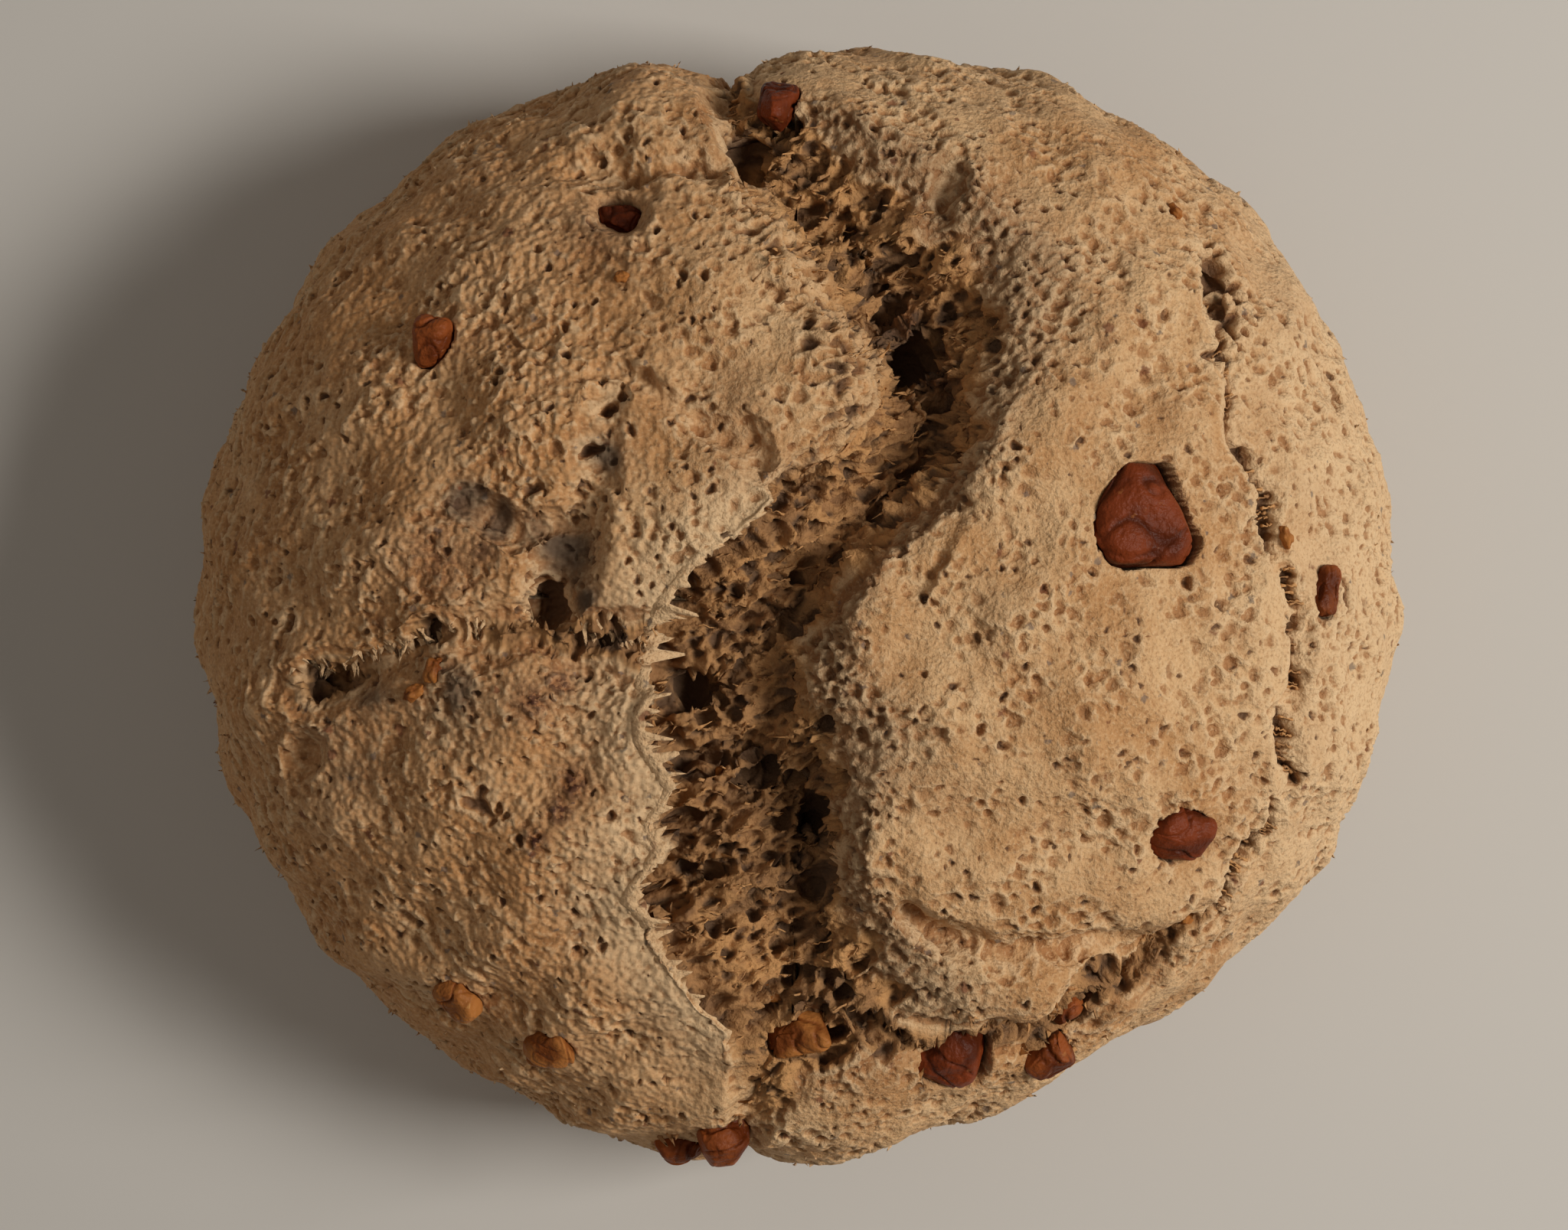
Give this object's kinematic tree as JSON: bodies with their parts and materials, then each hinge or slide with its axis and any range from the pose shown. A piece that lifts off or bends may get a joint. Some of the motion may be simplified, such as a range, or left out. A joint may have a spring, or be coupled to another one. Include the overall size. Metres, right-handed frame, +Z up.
{
  "type": "walnut bread",
  "caption": "Round hearth loaf of walnut bread with a floury pitted crust, torn open over its top to show stretched crumb, with walnut pieces baked into the surface.",
  "frame": {"origin": "on the face that the loaf rests on, under the middle of the loaf", "axes": "+Z up out of the crown, +X to the right of the picture, +Y to the top of the picture, the way that the split runs"},
  "size_m": [0.2012, 0.1869, 0.0877],
  "materials": {
    "crust": "matte floury crust with torn crumb in the split",
    "walnut_dark": "wrinkled walnut skin, satin",
    "walnut_pale": "broken walnut flesh and toasted skin, satin"
  },
  "bodies": {
    "root": {"loaf": "crust", "walnut_crown": "walnut_dark", "walnut_shoulder": "walnut_dark", "walnut_front": "walnut_dark", "walnut_front_right": "walnut_pale", "walnut_front_chip": "walnut_dark", "walnut_split": "walnut_pale", "walnut_notch": "walnut_dark", "walnut_foot": "walnut_dark", "walnut_left_front": "walnut_pale", "walnut_left_flake": "walnut_pale", "walnut_left_back": "walnut_dark", "walnut_back_pocket": "walnut_dark", "walnut_back_notch": "walnut_dark", "walnut_right_rim": "walnut_dark"}
  },
  "joints": []
}
